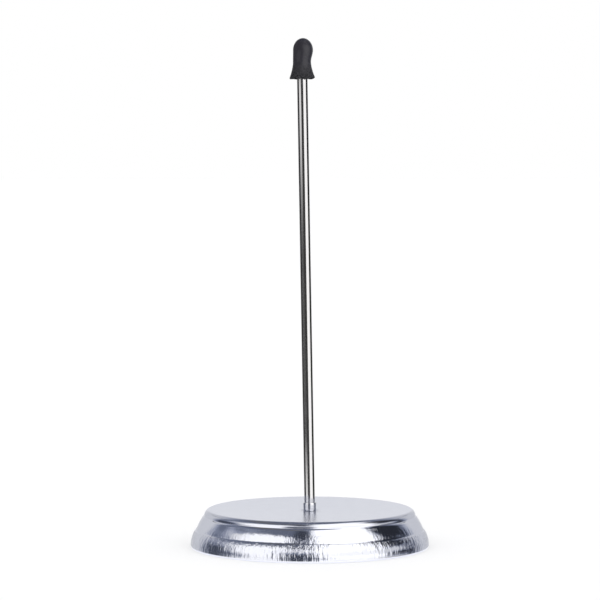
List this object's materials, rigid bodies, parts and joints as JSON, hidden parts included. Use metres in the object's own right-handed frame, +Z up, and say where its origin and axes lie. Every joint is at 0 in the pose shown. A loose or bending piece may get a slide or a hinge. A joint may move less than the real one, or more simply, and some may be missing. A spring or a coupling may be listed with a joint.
{
  "type": "bill spike",
  "caption": "Desk bill spike: a pointed polished spindle on a hollow stepped chrome base, with a pull-off black rubber cap over its point.",
  "frame": {"origin": "centre of the rim's seat on the table", "axes": "+Z up, the spindle leans one degree to -X, -Y is the side that faces the camera in the picture"},
  "size_m": [0.078, 0.078, 0.1662],
  "materials": {
    "base_chrome": "bright plated sheet with upright drawing marks on its lower band",
    "spindle_steel": "polished bar",
    "collar_chrome": "bright plated",
    "fastener_zinc": "zinc plated",
    "spring_steel": "oiled spring steel",
    "cap_rubber": "satin black moulded rubber"
  },
  "bodies": {
    "stand": {"base_shell": "base_chrome", "spindle_rod": "spindle_steel", "foot_collar": "collar_chrome", "clamp_washer": "fastener_zinc", "spring_washer": "spring_steel", "hex_nut": "fastener_zinc"},
    "cap": {"tip_cap": "cap_rubber"}
  },
  "joints": [
    {"name": "cap_pull", "type": "slide", "parent": "stand", "child": "cap", "axis": [-0.0175, 0, 0.9998], "range_m": [0, 0.04]}
  ]
}
